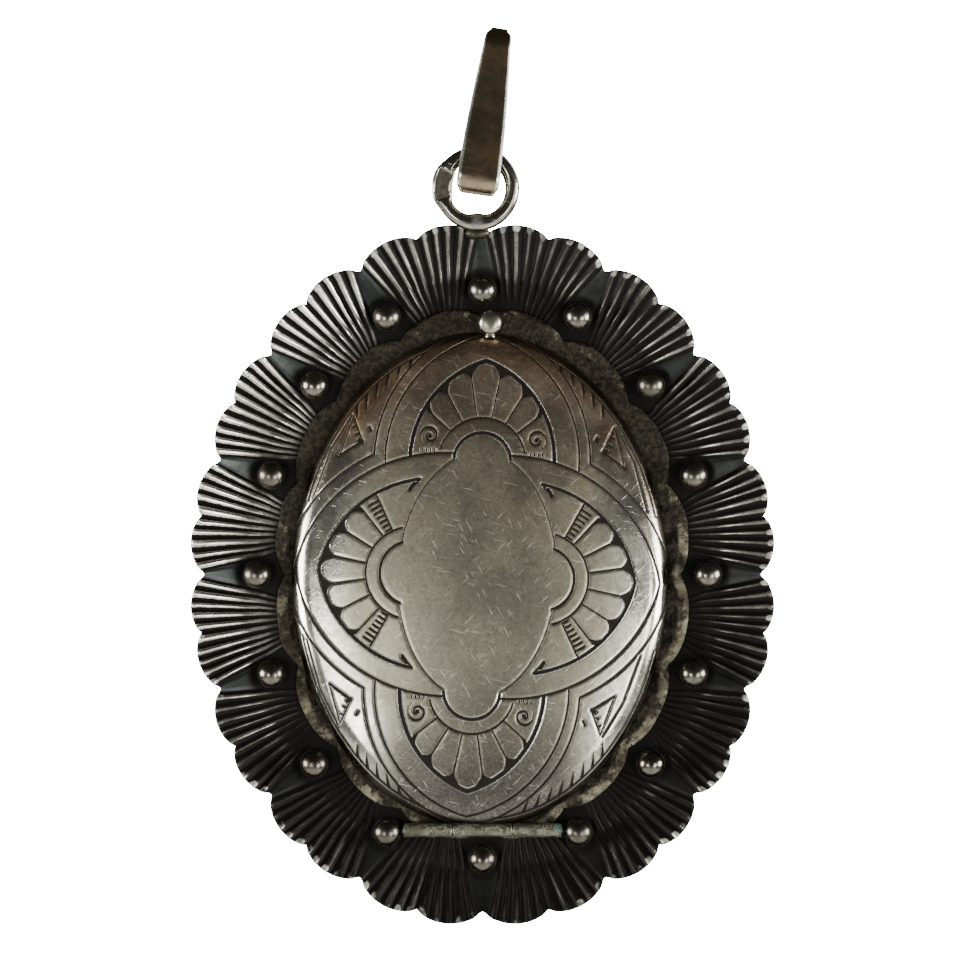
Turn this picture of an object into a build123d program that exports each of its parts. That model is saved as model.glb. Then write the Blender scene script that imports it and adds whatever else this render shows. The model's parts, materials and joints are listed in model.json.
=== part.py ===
from build123d import *
import os
from math import cos, radians, sin

# An oval silver locket that hangs upright. Millimetres.
# +X is to the right as seen from the front, +Z is up, and -Y points out of the front.
# The origin is the middle of the flat back. Every piece is drawn face-on, with its depth measured
# forwards from the back, and then stood up by upright().

# Line of beads: the oval that the whole fluted frame is laid out from
BEAD_LINE = (17.6, 22.2)
BEAD_COUNT = 16
BEAD_RADIUS = 1.1
BEAD_SINK = 0.35

# Fluted frame: a flat seat inside, then a dish that rises to a rim of round lobes
FRAME_THICKNESS = 0.9
FRAME_SEAT_DEPTH = 3.0
FRAME_HOLE = (13.95, 18.6)
DISH_PROFILE = [(1.2, 0.0), (3.4, 0.6), (5.9, 1.9)]
LOBE_TIP = 5.25
LOBE_NOTCH_AT_BEAD = 4.1
LOBE_NOTCH_IN_FAN = 4.6

# Case body
CASE_OVAL = (15.95, 20.6)
CASE_WALL = 0.8
BACK_THICKNESS = 0.6
BACK_EDGE_ROUND = 0.35
LEDGE_THICKNESS = 0.3
LEDGE_AT_BEAD = -2.1
LEDGE_BETWEEN_BEADS = -1.25

# Cover, its snap rim and the collar that it closes over
COVER_CENTRE = (-0.2, -0.45)
COVER_OVAL = (14.7, 19.3)
COVER_WALL = 0.6
COVER_RISE = 3.2
COVER_SHOULDER = (13.2, 1.6)
COVER_EDGE_RISE = 0.15
COVER_SEAM_GAP = 0.05
SNAP_RIM_OVAL = (13.5, 17.9)
SNAP_RIM_HEIGHT = 0.9
COLLAR_OVAL = (13.3, 17.65)
COLLAR_WALL = 0.5
COLLAR_ABOVE_LEDGE = 0.75

# Hinge across the bottom of the cover
HINGE_HEIGHT = -19.95
KNUCKLE_RADIUS = 0.55
PIN_RADIUS = 0.3
PIN_CLEARANCE = 0.045
COVER_KNUCKLE_LENGTH = 4.6
CASE_KNUCKLE_LENGTH = 3.8
KNUCKLE_GAP = 0.08
COVER_HINGE_CUT = (-19.2, 1.3)

# Thumb nib at the top of the cover
NIB_AT = (0.6, 19.65)
NIB_RADIUS = 0.95
NIB_CUT = 0.78

# Picture well
WELL_GAP = 0.08
CARD_THICKNESS = 0.25
GLASS_THICKNESS = 0.7
BEZEL_WALL = 0.55
BEZEL_BELOW_COLLAR = 0.5

# Ring soldered to the top of the frame
RING_AT = (-0.42, 30.1)
RING_DEPTH = 4.3
RING_RADIUS = 2.75
RING_WIRE = 0.55
RING_PAD = (1.5, 2.7, 0.8)
RING_PAD_OUT = 2.72
LUG_WIDTH = 2.1
LUG_FOOT = 26.25
LUG_DEPTHS = (3.5, 4.75)

# Bail: a tapered strip bent into a closed loop round the ring
BAIL_TILT = 8.0
BAIL_BOTTOM = -0.5
BAIL_TOP = 12.62
BAIL_STRIP = 0.4
BAIL_INSIDE = 2.3
BAIL_WIDTHS = (3.3, 2.85, 1.9)
BAIL_CORNER = 1.0


def upright(piece):
    """Stand a piece that was drawn face-on: its up becomes +Z and its depth becomes -Y."""
    return Plane.XZ * piece


def oval(half_sizes, centre=(0, 0)):
    return Pos(*centre) * Ellipse(*half_sizes)


def slab(outline, low, high):
    """Extrude a flat outline between two depths."""
    return Pos(0, 0, low) * extrude(outline, high - low)


def grown(half_sizes, by):
    return (half_sizes[0] + by, half_sizes[1] + by)


def along_bead_line(fraction, outwards=0.0):
    """Point at a fraction of the bead line's length, moved outwards square to the line."""
    line = Ellipse(*BEAD_LINE).edge()
    at = line @ (fraction % 1)
    run = line % (fraction % 1)
    return Vector(at.X + outwards * run.Y, at.Y - outwards * run.X)


def lobed(notches, tip):
    """Closed outline of round lobes: arcs between notches that are evenly spaced, from the top."""
    count = len(notches)
    arcs = []
    for i in range(count):
        start = along_bead_line(0.25 + i / count, notches[i])
        middle = along_bead_line(0.25 + (i + 0.5) / count, tip)
        end = along_bead_line(0.25 + (i + 1) / count, notches[(i + 1) % count])
        arcs.append(ThreePointArc(start, middle, end))
    return make_face(arcs)


def dish_front(shift):
    """Space in front of the frame's dished face, moved by a depth."""
    sections = [
        Pos(0, 0, FRAME_SEAT_DEPTH + rise + shift) * oval(grown(BEAD_LINE, out))
        for out, rise in DISH_PROFILE
    ]
    return loft(sections, ruled=True)


def fluted_frame():
    lobes = lobed([LOBE_NOTCH_AT_BEAD, LOBE_NOTCH_IN_FAN] * BEAD_COUNT, LOBE_TIP)
    back_depth = FRAME_SEAT_DEPTH - FRAME_THICKNESS
    rim_out, rim_rise = DISH_PROFILE[-1]
    rim_depth = FRAME_SEAT_DEPTH + rim_rise
    rim = slab(oval(grown(BEAD_LINE, rim_out)), rim_depth - FRAME_THICKNESS, rim_depth)
    plate = (dish_front(-FRAME_THICKNESS) + rim) - dish_front(0)
    plate = plate & slab(lobes, back_depth, rim_depth)
    plate -= slab(oval(FRAME_HOLE), back_depth, FRAME_SEAT_DEPTH)
    slot_width = LUG_WIDTH + 0.1
    slot = Pos(RING_AT[0], LUG_FOOT, 0) * Box(slot_width, 3, 12, align=(Align.CENTER, Align.MIN, Align.CENTER))
    ring_seat = Pos(*RING_AT, 0) * Cylinder(RING_RADIUS + RING_WIRE + 0.08, 12)
    return plate - slot - ring_seat


def bead(number):
    seat = along_bead_line(0.25 + number / BEAD_COUNT)
    centre_depth = FRAME_SEAT_DEPTH + BEAD_RADIUS - BEAD_SINK
    ball = Pos(seat.X, seat.Y, centre_depth) * Sphere(BEAD_RADIUS)
    return split(ball, bisect_by=Plane.XY.offset(FRAME_SEAT_DEPTH), keep=Keep.TOP)


def back_plate():
    plate = slab(oval(CASE_OVAL), 0, BACK_THICKNESS)
    return fillet(plate.edges().group_by(Axis.Z)[0], BACK_EDGE_ROUND)


def case_wall():
    band = oval(CASE_OVAL) - oval(grown(CASE_OVAL, -CASE_WALL))
    return slab(band, BACK_THICKNESS, FRAME_SEAT_DEPTH - FRAME_THICKNESS)


def ledge_top():
    return FRAME_SEAT_DEPTH + LEDGE_THICKNESS


def front_ledge():
    plate = lobed([LEDGE_AT_BEAD] * BEAD_COUNT, LEDGE_BETWEEN_BEADS)
    hole = oval(grown(COLLAR_OVAL, 0.1), COVER_CENTRE)
    return slab(plate - hole, FRAME_SEAT_DEPTH, ledge_top())


def collar_inside():
    return grown(COLLAR_OVAL, -COLLAR_WALL)


def inner_collar():
    band = oval(COLLAR_OVAL, COVER_CENTRE) - oval(collar_inside(), COVER_CENTRE)
    return slab(band, BACK_THICKNESS, ledge_top() + COLLAR_ABOVE_LEDGE)


def picture_card():
    outline = oval(grown(collar_inside(), -WELL_GAP), COVER_CENTRE)
    return slab(outline, BACK_THICKNESS, BACK_THICKNESS + CARD_THICKNESS)


def picture_glass():
    outline = oval(grown(collar_inside(), -WELL_GAP), COVER_CENTRE)
    low = BACK_THICKNESS + CARD_THICKNESS
    return slab(outline, low, low + GLASS_THICKNESS)


def picture_bezel():
    outside = grown(collar_inside(), -WELL_GAP)
    band = oval(outside, COVER_CENTRE) - oval(grown(outside, -BEZEL_WALL), COVER_CENTRE)
    low = BACK_THICKNESS + CARD_THICKNESS + GLASS_THICKNESS
    return slab(band, low, ledge_top() + COLLAR_ABOVE_LEDGE - BEZEL_BELOW_COLLAR)


def seam_depth():
    return ledge_top() + COVER_SEAM_GAP


def domed_solid(wall):
    """Solid dome inside the cover's skin: a crown arc, a rolled edge, turned and stretched oval."""
    edge = COVER_OVAL[0] - wall
    low = seam_depth()
    crown = (0, low + COVER_RISE - wall)
    shoulder = (COVER_SHOULDER[0] - wall / 2, low + COVER_SHOULDER[1] - wall)
    crown_radius = (shoulder[0] ** 2 + (crown[1] - shoulder[1]) ** 2) / (2 * (crown[1] - shoulder[1]))
    top = ThreePointArc(
        crown,
        (shoulder[0] / 2, crown[1] - crown_radius + (crown_radius ** 2 - shoulder[0] ** 2 / 4) ** 0.5),
        shoulder,
    )
    corner = (edge, low + COVER_EDGE_RISE)
    roll = TangentArc(shoulder, corner, tangent=top % 1)
    foot = Polyline(corner, (edge, low), (0, low), crown)
    half_section = Plane.XZ * make_face([top, roll, foot])
    dome = revolve(half_section, Axis.Z)
    stretched = scale(dome, by=(1, COVER_OVAL[1] / COVER_OVAL[0], 1), about=(0, 0, 0))
    return Pos(*COVER_CENTRE) * stretched


def hinge_cut():
    """Straight recess in the cover's bottom edge that clears the hinge tube."""
    top, height = COVER_HINGE_CUT
    half_length = COVER_KNUCKLE_LENGTH / 2 + KNUCKLE_GAP + CASE_KNUCKLE_LENGTH
    return Pos(0, top, seam_depth() - 1) * Box(
        2 * half_length + 1, 4, height + 1, align=(Align.CENTER, Align.MAX, Align.MIN)
    )


def front_cover():
    return domed_solid(0) - domed_solid(COVER_WALL) - hinge_cut()


def cover_snap_rim():
    inside_skin = (
        COVER_OVAL[0] - COVER_WALL,
        (COVER_OVAL[0] - COVER_WALL) * COVER_OVAL[1] / COVER_OVAL[0],
    )
    band = oval(inside_skin, COVER_CENTRE) - oval(SNAP_RIM_OVAL, COVER_CENTRE)
    ring = slab(band, seam_depth(), seam_depth() + SNAP_RIM_HEIGHT)
    return ring & domed_solid(COVER_WALL)


def thumb_nib():
    depth = seam_depth() + NIB_CUT + 0.1
    ball = Pos(*NIB_AT, depth) * Sphere(NIB_RADIUS)
    flats = Pos(*NIB_AT, depth) * Box(3, 3, 2 * NIB_CUT)
    neck = Pos(NIB_AT[0], NIB_AT[1], depth - 0.2) * Rot(90, 0, 0) * Cylinder(
        0.45, 1.2, align=(Align.CENTER, Align.CENTER, Align.MIN)
    )
    return (ball & flats) + neck - domed_solid(0)


def hinge_depth():
    return ledge_top() + COVER_SEAM_GAP + KNUCKLE_RADIUS


def hinge_rod(radius, low, high):
    """Rod on the hinge axis between two values of X."""
    rod = Rot(0, 90, 0) * Cylinder(radius, high - low)
    return Pos((low + high) / 2, HINGE_HEIGHT, hinge_depth()) * rod


def cover_knuckle():
    half = COVER_KNUCKLE_LENGTH / 2
    reach = COVER_HINGE_CUT[0] - HINGE_HEIGHT
    web = Pos(0, HINGE_HEIGHT, hinge_depth()) * Box(
        2 * half, reach, 0.8, align=(Align.CENTER, Align.MIN, Align.CENTER)
    )
    tube = hinge_rod(KNUCKLE_RADIUS, -half, half) + web
    return tube - hinge_rod(PIN_RADIUS + PIN_CLEARANCE, -half - 1, half + 1)


def case_knuckle(side):
    """Fixed knuckle on the left (-1) or right (+1), soldered to the ledge by a low foot."""
    near = COVER_KNUCKLE_LENGTH / 2 + KNUCKLE_GAP
    far = near + CASE_KNUCKLE_LENGTH
    low, high = sorted((side * near, side * far))
    foot_length = 0.7 * CASE_KNUCKLE_LENGTH
    foot_middle = side * (near + foot_length / 2)
    foot_height = hinge_depth() - ledge_top()
    foot = Pos(foot_middle, HINGE_HEIGHT, ledge_top()) * Box(
        foot_length, KNUCKLE_RADIUS, foot_height, align=(Align.CENTER, Align.CENTER, Align.MIN)
    )
    return hinge_rod(KNUCKLE_RADIUS, low, high) + foot - hinge_rod(PIN_RADIUS, low - 1, high + 1)


def hinge_pin():
    half = COVER_KNUCKLE_LENGTH / 2 + KNUCKLE_GAP + CASE_KNUCKLE_LENGTH + 0.12
    pin = hinge_rod(PIN_RADIUS, -half, half)
    return chamfer(pin.edges().filter_by(GeomType.CIRCLE), 0.1)


def top_ring():
    hoop = Torus(RING_RADIUS, RING_WIRE)
    pad_width, pad_height, pad_depth = RING_PAD
    pad_outline = RectangleRounded(pad_width, pad_height, 0.5)
    pad = Pos(-RING_PAD_OUT, 0, -pad_depth / 2) * extrude(pad_outline, pad_depth)
    ring = Pos(*RING_AT, RING_DEPTH) * (hoop + pad)
    lug_top = RING_AT[1] - RING_RADIUS + 0.1
    low, high = LUG_DEPTHS
    lug = Pos(RING_AT[0], LUG_FOOT, low) * Box(
        LUG_WIDTH, lug_top - LUG_FOOT, high - low, align=(Align.CENTER, Align.MIN, Align.MIN)
    )
    return ring + lug


def bail():
    """Closed strip loop, drawn with the ring's centre as origin and then tilted."""
    outside = BAIL_INSIDE + 2 * BAIL_STRIP
    length = BAIL_TOP - BAIL_BOTTOM
    middle = (BAIL_TOP + BAIL_BOTTOM) / 2
    loop = SlotCenterToCenter(length - outside, outside) - SlotCenterToCenter(length - outside, BAIL_INSIDE)
    side_view = Plane.YZ * Pos(middle, 0) * loop
    wide, waist, narrow = BAIL_WIDTHS
    strip = extrude(side_view, wide / 2, both=True)
    low, high = BAIL_BOTTOM - 0.1, BAIL_TOP + 0.1
    right = ThreePointArc((wide / 2, low), (waist / 2, middle), (narrow / 2, high))
    left = ThreePointArc((-narrow / 2, high), (-waist / 2, middle), (-wide / 2, low))
    outline = make_face(Curve() + [right, Line(right @ 1, left @ 0), left, Line(left @ 1, right @ 0)])
    outline = fillet(outline.vertices().group_by(Axis.Y)[0], BAIL_CORNER)
    taper = Pos(0, 0, -outside) * extrude(outline, 2 * outside)
    return Pos(*RING_AT, RING_DEPTH) * Rot(0, 0, -BAIL_TILT) * (strip & taper)


def all_pieces():
    pieces = {
        "back_plate": back_plate(),
        "case_wall": case_wall(),
        "inner_collar": inner_collar(),
        "front_ledge": front_ledge(),
        "fluted_frame": fluted_frame(),
        "picture_card": picture_card(),
        "picture_glass": picture_glass(),
        "picture_bezel": picture_bezel(),
        "case_knuckle_left": case_knuckle(-1),
        "case_knuckle_right": case_knuckle(1),
        "hinge_pin": hinge_pin(),
        "top_ring": top_ring(),
        "front_cover": front_cover(),
        "cover_snap_rim": cover_snap_rim(),
        "cover_knuckle": cover_knuckle(),
        "thumb_nib": thumb_nib(),
        "bail": bail(),
    }
    for number in range(BEAD_COUNT):
        pieces[f"bead_{number + 1:02d}"] = bead(number)
    return pieces


def report_axes():
    """Print where the two hinge axes lie once the locket stands upright."""
    print(f"cover hinge: x 0, y {-hinge_depth():.3f}, z {HINGE_HEIGHT:.3f}, along +X")
    tilt = radians(BAIL_TILT)
    inner_edge = ((RING_RADIUS - RING_WIRE) ** 2 - (BAIL_WIDTHS[0] / 2) ** 2) ** 0.5
    swing = (RING_RADIUS + RING_WIRE + inner_edge) / 2
    x = RING_AT[0] + swing * sin(tilt)
    z = RING_AT[1] + swing * cos(tilt)
    print(f"bail hinge: x {x:.3f}, y {-RING_DEPTH:.3f}, z {z:.3f}, along ({cos(tilt):.4f}, 0, {-sin(tilt):.4f})")
    loop_top = BAIL_TOP - BAIL_STRIP
    print(f"loop top: x {RING_AT[0] + loop_top * sin(tilt):.3f}, z {RING_AT[1] + loop_top * cos(tilt):.3f}")


def main():
    os.makedirs("parts", exist_ok=True)
    for name, piece in all_pieces().items():
        export_step(upright(piece), f"parts/{name}.step")
    report_axes()


main()
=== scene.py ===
import json
import bpy
import numpy as np
from math import cos, pi, radians, sin
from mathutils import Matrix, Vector


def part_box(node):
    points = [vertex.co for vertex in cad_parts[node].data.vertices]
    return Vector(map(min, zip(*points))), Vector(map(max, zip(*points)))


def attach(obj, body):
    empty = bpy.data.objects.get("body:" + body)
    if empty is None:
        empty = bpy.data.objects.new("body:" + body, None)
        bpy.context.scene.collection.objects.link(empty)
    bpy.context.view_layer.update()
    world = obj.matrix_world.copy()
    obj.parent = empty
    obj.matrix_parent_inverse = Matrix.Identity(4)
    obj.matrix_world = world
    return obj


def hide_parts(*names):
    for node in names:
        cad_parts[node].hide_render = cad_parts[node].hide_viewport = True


# The looks of an oval silver locket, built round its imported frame. Metres, +Z up, front towards -Y.
# Inside this script sizes are in millimetres and "depth" is the distance in front of the flat back;
# stood() turns (x, depth, z) in millimetres into a place in the frame.

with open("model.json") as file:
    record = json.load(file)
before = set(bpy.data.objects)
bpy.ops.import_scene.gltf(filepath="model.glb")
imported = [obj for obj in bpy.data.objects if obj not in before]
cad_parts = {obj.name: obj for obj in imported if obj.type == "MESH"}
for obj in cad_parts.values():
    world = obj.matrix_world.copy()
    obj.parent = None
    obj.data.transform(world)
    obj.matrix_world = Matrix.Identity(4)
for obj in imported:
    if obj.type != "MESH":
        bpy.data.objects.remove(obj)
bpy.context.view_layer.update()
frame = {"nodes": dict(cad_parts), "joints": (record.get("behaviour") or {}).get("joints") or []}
MM = 0.001
TURN = 2 * pi


def middle(node):
    """Middle of a CAD node's box in millimetres, as (x, depth, z)."""
    low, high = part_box(node)
    return (low.x + high.x) / 2 / MM, -(low.y + high.y) / 2 / MM, (low.z + high.z) / 2 / MM


def depths(node):
    """Back and front depth of a CAD node in millimetres."""
    low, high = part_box(node)
    return -high.y / MM, -low.y / MM


def half_sizes(node):
    low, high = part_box(node)
    return (high.x - low.x) / 2 / MM, (high.z - low.z) / 2 / MM


def stood(x, depth, z):
    """Points in the frame from x, depth and z in millimetres."""
    x, depth, z = np.broadcast_arrays(x, depth, z)
    return np.stack([x, -depth, z], axis=-1) * MM


# ---- sizes, in millimetres

BEADS = 16
LINE_W = -middle("bead_01")[0]
LINE_H = middle("bead_13")[2]
BEAD_R = half_sizes("bead_01")[0]
SEAT = depths("bead_01")[0]
SEAM, CROWN = depths("front_cover")
COVER_X = middle("front_cover")[0]
COVER_W = half_sizes("front_cover")[0]
COVER_H = 19.3
COVER_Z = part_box("front_cover")[1].z / MM - COVER_H
COVER_WALL = 0.62
CASE_W = 15.95
CASE_H = half_sizes("back_plate")[1]
NIB_R = 0.95
NIB_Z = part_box("thumb_nib")[1].z / MM - NIB_R
NIB_HALF_THICK = 0.76
NECK_R = 0.38
NECK_SET_BACK = 0.3
KNUCKLE_R = 0.55
KNUCKLE_ROUND = 0.1


# ---- meshes


def link_object(thing):
    bpy.context.scene.collection.objects.link(thing)


def add_piece(name, points, faces, masks, sharp):
    """A mesh object from points and a list of face index arrays, smooth but for edges over an angle."""
    mesh = bpy.data.meshes.new(name)
    polygons = [face for block in faces for face in block.tolist()]
    mesh.from_pydata(points.reshape(-1, 3), [], polygons)
    for mask, values in masks.items():
        layer = mesh.attributes.new(mask, "FLOAT", "POINT")
        layer.data.foreach_set("value", np.ascontiguousarray(values, dtype=np.float32).ravel())
    mesh.polygons.foreach_set("use_smooth", np.ones(len(mesh.polygons), bool))
    mesh.update()
    mesh.set_sharp_from_angle(angle=radians(sharp))
    piece = bpy.data.objects.new(name, mesh)
    link_object(piece)
    turn_outwards(mesh)
    return piece


def turn_outwards(mesh):
    """Flip every face if the closed mesh holds a negative volume."""
    mesh.calc_loop_triangles()
    corners = np.empty(len(mesh.loop_triangles) * 3, np.int32)
    mesh.loop_triangles.foreach_get("vertices", corners)
    places = np.empty(len(mesh.vertices) * 3, np.float32)
    mesh.vertices.foreach_get("co", places)
    a, b, c = places.reshape(-1, 3).astype(float)[corners.reshape(-1, 3)].transpose(1, 0, 2)
    if np.einsum("ij,ij->i", a, np.cross(b, c)).sum() < 0:
        mesh.flip_normals()


def grid_faces(rows, columns, wrap_rows, wrap_columns, first=0):
    """Quads between neighbouring points of a grid, joined round where it wraps."""
    r = np.arange(rows if wrap_rows else rows - 1)[:, None]
    c = np.arange(columns if wrap_columns else columns - 1)[None, :]
    up, over = (r + 1) % rows, (c + 1) % columns
    corners = [r * columns + c, r * columns + over, up * columns + over, up * columns + c]
    return np.stack(np.broadcast_arrays(*corners), axis=-1).reshape(-1, 4) + first


def hoop(name, points, masks, sharp):
    """Closed ring: points[row, column], where rows go round the section and columns round the ring."""
    rows, columns = points.shape[:2]
    return add_piece(name, points, [grid_faces(rows, columns, True, True)], masks, sharp)


def fan(ring, pole, flip=False):
    """Triangles from a closed row of points to one pole."""
    nxt = np.roll(ring, -1)
    pair = (nxt, ring) if flip else (ring, nxt)
    return np.stack([*pair, np.full_like(ring, pole)], axis=-1)


def capped(name, points, start, end, masks, sharp):
    """Closed skin: rows of rings, with a pole before the first row and after the last."""
    rows, columns = points.shape[:2]
    count = rows * columns
    everything = np.concatenate([points.reshape(-1, 3), [start, end]])
    ring = np.arange(columns)
    faces = [
        grid_faces(rows, columns, False, True),
        fan(ring, count, flip=True),
        fan(ring + count - columns, count + 1),
    ]
    masks = {k: np.append(np.ravel(v), [np.mean(v[0]), np.mean(v[-1])]) for k, v in masks.items()}
    return add_piece(name, everything, faces, masks, sharp)


def round_angles(count):
    return np.linspace(0, TURN, count, endpoint=False)


def smooth_step(low, high, value):
    t = np.clip((value - low) / (high - low), 0, 1)
    return t * t * (3 - 2 * t)


def wander(length, seed, knots):
    """Smooth closed random curve between -1 and 1: random knots joined by a raised cosine."""
    marks = np.random.default_rng(seed).uniform(-1, 1, knots)
    place = np.asarray(length) % 1 * knots
    low = np.floor(place).astype(int) % knots
    ease = (1 - np.cos(pi * (place % 1))) / 2
    return marks[low] * (1 - ease) + marks[(low + 1) % knots] * ease


# ---- the line of beads

ANGLES = np.linspace(0, TURN, 8193)
STEPS = np.hypot(LINE_W * np.cos(ANGLES), LINE_H * np.sin(ANGLES))
WALKED = np.concatenate([[0], np.cumsum((STEPS[1:] + STEPS[:-1]) / 2)])
WALKED /= WALKED[-1]


def on_line(fraction, out):
    """x and z at a fraction of the bead line's length, from the top to the left, moved outwards by out."""
    angle = np.interp(np.asarray(fraction) % 1, WALKED, ANGLES)
    across, up = LINE_H * np.sin(angle), LINE_W * np.cos(angle)
    size = np.hypot(across, up)
    x = -LINE_W * np.sin(angle) - out * across / size
    z = LINE_H * np.cos(angle) + out * up / size
    return x, z


# ---- fluted frame

RIDGES = 10
RIDGE_STEPS = 8
GAP_STEPS = 5
DISH_RISE = 1.55
DISH_STARTS = 0.9
FLUTE_CUT = 0.06
FLUTE_DEEPENS = 0.22
BACK_FLUTE_CUT = 0.1
FRAME_WAVER = 0.05
RIM_OUT = 5.24
RIM_ROUND = 0.22
RIM_THICK = 0.72
BACK_ROUND = 0.12
DISH_THICK = 0.82
FOOT_THICK = 0.85
NOTCH_AT_BEAD = 4.1
NOTCH_IN_FAN = 4.6


def lobe_edge(across):
    """Offset of the lobed rim: across is -1 and 1 at two beads and 0 between, and each half is a lobe."""
    base = NOTCH_AT_BEAD + (NOTCH_IN_FAN - NOTCH_AT_BEAD) * (1 - np.abs(across))
    lobe = 1 - (2 * (np.abs(across) % 1) - 1) ** 2
    return base + (RIM_OUT - (NOTCH_AT_BEAD + NOTCH_IN_FAN) / 2) * lobe ** 0.75


def fan_width(out):
    """Share of the space between beads that the ridges take at an offset: narrow inside, all outside."""
    return 0.69 + 0.28 * np.clip(out / 4.7, 0, 1) + 0.10 * np.clip(out, -1.5, 0)


def dish(out):
    """Rise of the frame's face above its seat: flat inside, then a hollow curve up to the rim."""
    return DISH_RISE * np.clip((out - DISH_STARTS) / (RIM_OUT - DISH_STARTS), 0, None) ** 1.35


def ridge_columns():
    """For each column: the fan it is in, where it lies (-1 to 1 over ridges, past 1 on the plain gap),
    the ridge profile (0 in a groove, 1 on a crest) and the ridge's own height."""
    rng = np.random.default_rng(11)
    per_ridge = np.arange(RIDGE_STEPS) / RIDGE_STEPS
    marks = np.arange(RIDGES + 1) / RIDGES * 2 - 1
    fans, place, profile, tall = [], [], [], []
    for number in range(BEADS):
        cuts = marks + np.append(np.insert(rng.uniform(-0.03, 0.03, RIDGES - 1), 0, 0), 0)
        widths = np.diff(cuts)
        across = (cuts[:-1, None] + widths[:, None] * per_ridge).ravel()
        shape = np.tile(1 - np.abs(2 * per_ridge - 1) ** 1.5, RIDGES)
        gap = 1 + np.arange(GAP_STEPS + 1) / (GAP_STEPS + 1)
        place.append(np.concatenate([-gap[:0:-1], across, gap]))
        soft = 0.35 * smooth_step(0, 0.5, gap - 1)
        profile.append(np.concatenate([soft[:0:-1], shape, soft]))
        heights = np.repeat(rng.uniform(0.72, 1.0, RIDGES), RIDGE_STEPS)
        tall.append(np.concatenate([np.full(GAP_STEPS, 0.8), heights, np.full(GAP_STEPS + 1, 0.8)]))
        fans.append(np.full(len(place[-1]), number))
    return [np.concatenate(part) for part in (fans, place, profile, tall)]


def build_fluted_frame():
    """Grid of section rows by ridge columns. A column keeps to its ridge: its share of the fan is
    place * fan_width(offset), so ridges spread outwards and leave a plain wedge behind each bead."""
    fans, place, profile, tall = ridge_columns()

    def across(out):
        width = fan_width(out)
        inside = place * width
        beyond = np.sign(place) * (width + (np.abs(place) - 1) * (1 - width))
        return np.where(np.abs(place) <= 1, inside, beyond)

    edge = lobe_edge(across(RIM_OUT))
    inner = np.array([-3.4, -1.5, -1.0, -0.5])
    shares = np.linspace(0, 1, 27) ** 0.9
    rows_out = [np.full_like(edge, out) for out in inner]
    rows_out += [share * (edge - RIM_ROUND) for share in shares]
    rows_depth, rows_cut = [], []
    for out in rows_out:
        cut = (FLUTE_CUT + FLUTE_DEEPENS * smooth_step(-1.0, 4.5, out)) * (1 - profile * tall)
        rows_cut.append(cut)
        rows_depth.append(SEAT + dish(out) - cut)
    for turn in (pi / 6, pi / 3, pi / 2):
        rows_out.append(edge - RIM_ROUND * (1 - sin(turn)))
        rows_depth.append(SEAT + dish(edge) - rows_cut[-1] - RIM_ROUND * (1 - cos(turn)))
    rim_back = SEAT + dish(edge) - RIM_THICK
    rows_out.append(edge)
    rows_depth.append(rim_back + BACK_ROUND)
    rows_out.append(edge - BACK_ROUND)
    rows_depth.append(rim_back)
    for share in (0.93, 0.86, 0.78, 0.7, 0.6, 0.5, 0.4, 0.3, 0.2, 0.1, 0.0):
        out = share * edge
        back_cut = BACK_FLUTE_CUT * smooth_step(0.5, 4.5, out) * profile * tall
        rows_out.append(out)
        rows_depth.append(SEAT - DISH_THICK + dish(out) - back_cut)
    for out in (-1.6, -3.4):
        rows_out.append(np.full_like(edge, out))
        rows_depth.append(np.full_like(edge, SEAT - FOOT_THICK))
    out = np.array(rows_out)
    depth = np.array(rows_depth)
    shares_across = np.array([across(row) for row in rows_out])
    fraction = (fans + (shares_across + 1) / 2) / BEADS
    x, z = on_line(fraction, out)
    depth = depth + FRAME_WAVER * wander(fraction, 3, 9) * smooth_step(0, 5, out)
    # Masks: recess in the flutes, painted shade inside next to the ledge and a painted shadow ring round
    # each bead, painted shade by side everywhere but at the left and upper left, worn on the crests beside
    # the rim.
    front = len(inner) + len(shares)
    plain = np.ones_like(out) * (np.abs(place) > 1.02)
    recess = np.ones_like(out) * np.clip(1 - profile * (0.6 + 0.4 * tall), 0, 1) ** 1.6
    recess[front + 3:] *= 0.55
    recess = np.where(plain > 0, 0.0, recess)
    # Painted shade: the dark band next to the ledge reaches further out at the bottom and the top.
    kept_dark = smooth_step(4, -20, z) * 3.4 + smooth_step(16, 26, z) * 1.6
    dirt_and_shade = 1 - smooth_step(-1.9, 2.3 + kept_dark, out)
    # Painted shadow: a dark ring round each bead where it sits on the frame.
    for number in range(BEADS):
        seat_x, seat_z = on_line(number / BEADS, 0)
        bead_shadow = 1 - smooth_step(1.3, 2.3, np.hypot(x - seat_x, z - seat_z))
        dirt_and_shade = np.maximum(dirt_and_shade, bead_shadow)
    # Painted shade by side: light at the left, darker to the right, towards the bottom and at the top.
    lit_share = 1 - 0.74 * smooth_step(-6, 13, x)
    lit_share = lit_share * (1 - 0.95 * smooth_step(5, -17, z))
    lit_share = lit_share * (1 - 0.62 * smooth_step(13, 24, z) * smooth_step(16, 6, np.abs(x)))
    lit_share = lit_share * (1 - 0.22 * smooth_step(8, 18, z))
    side_shade = 1 - lit_share
    worn = smooth_step(0.8, 0.2, edge - out) * smooth_step(0.45, 0.85, profile) * (1 - plain)
    masks = {"recess": recess, "worn": worn, "plain": plain, "dirt_and_shade": dirt_and_shade, "side_shade": side_shade}
    return hoop("fluted_frame_visual", stood(x, depth, z), masks, 50)


# ---- beads

BEAD_COLUMNS = 40


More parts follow.
